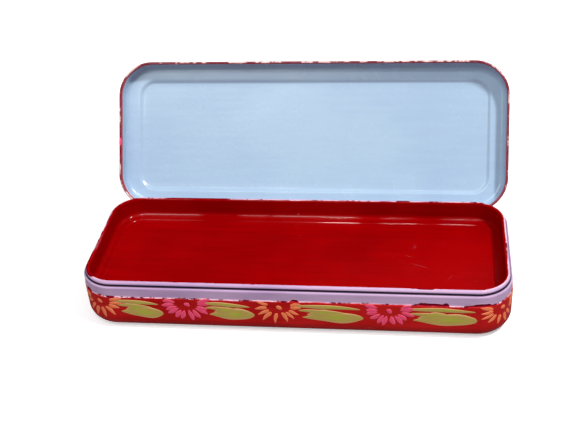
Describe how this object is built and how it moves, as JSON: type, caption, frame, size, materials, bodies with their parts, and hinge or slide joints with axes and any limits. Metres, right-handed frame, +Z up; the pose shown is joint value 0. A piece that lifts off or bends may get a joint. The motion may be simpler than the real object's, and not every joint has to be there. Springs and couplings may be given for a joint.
{
  "type": "pencil case",
  "caption": "Hinged painted tin pencil case with a lift-out inner tray, a curled rim, a rolled-hem lid and a space under the tray.",
  "frame": {"origin": "centre of the flat underside of the base, on the surface the case stands on", "axes": "+X along the length, +Y from the front to the hinges, +Z up"},
  "size_m": [0.2024, 0.1248, 0.0806],
  "materials": {
    "base_enamel": "gloss red enamel with a lilac band under the lid and hand-painted flowers",
    "tray_enamel": "gloss deep red enamel with a lilac curled rim",
    "lid_enamel": "gloss pale blue enamel inside, red enamel outside, worn at the hem",
    "hinge_steel": "satin tinplate, dulled",
    "pin_steel": "drawn wire"
  },
  "bodies": {
    "base": {"base_pan": "base_enamel", "left_hinge_base_leaf": "hinge_steel", "left_hinge_pin": "pin_steel", "right_hinge_base_leaf": "hinge_steel", "right_hinge_pin": "pin_steel"},
    "tray": {"inner_tray": "tray_enamel"},
    "lid": {"lid_pan": "lid_enamel", "left_hinge_lid_leaf": "hinge_steel", "right_hinge_lid_leaf": "hinge_steel"}
  },
  "joints": [
    {"name": "lid_hinge", "type": "hinge", "parent": "base", "child": "lid", "pos_m": [0, 0.0387, 0.017], "axis": [1, 0, 0], "range_deg": [0, 122]},
    {"name": "tray_lift", "type": "slide", "parent": "base", "child": "tray", "axis": [0, 0, 1], "range_m": [0, 0.045]}
  ]
}
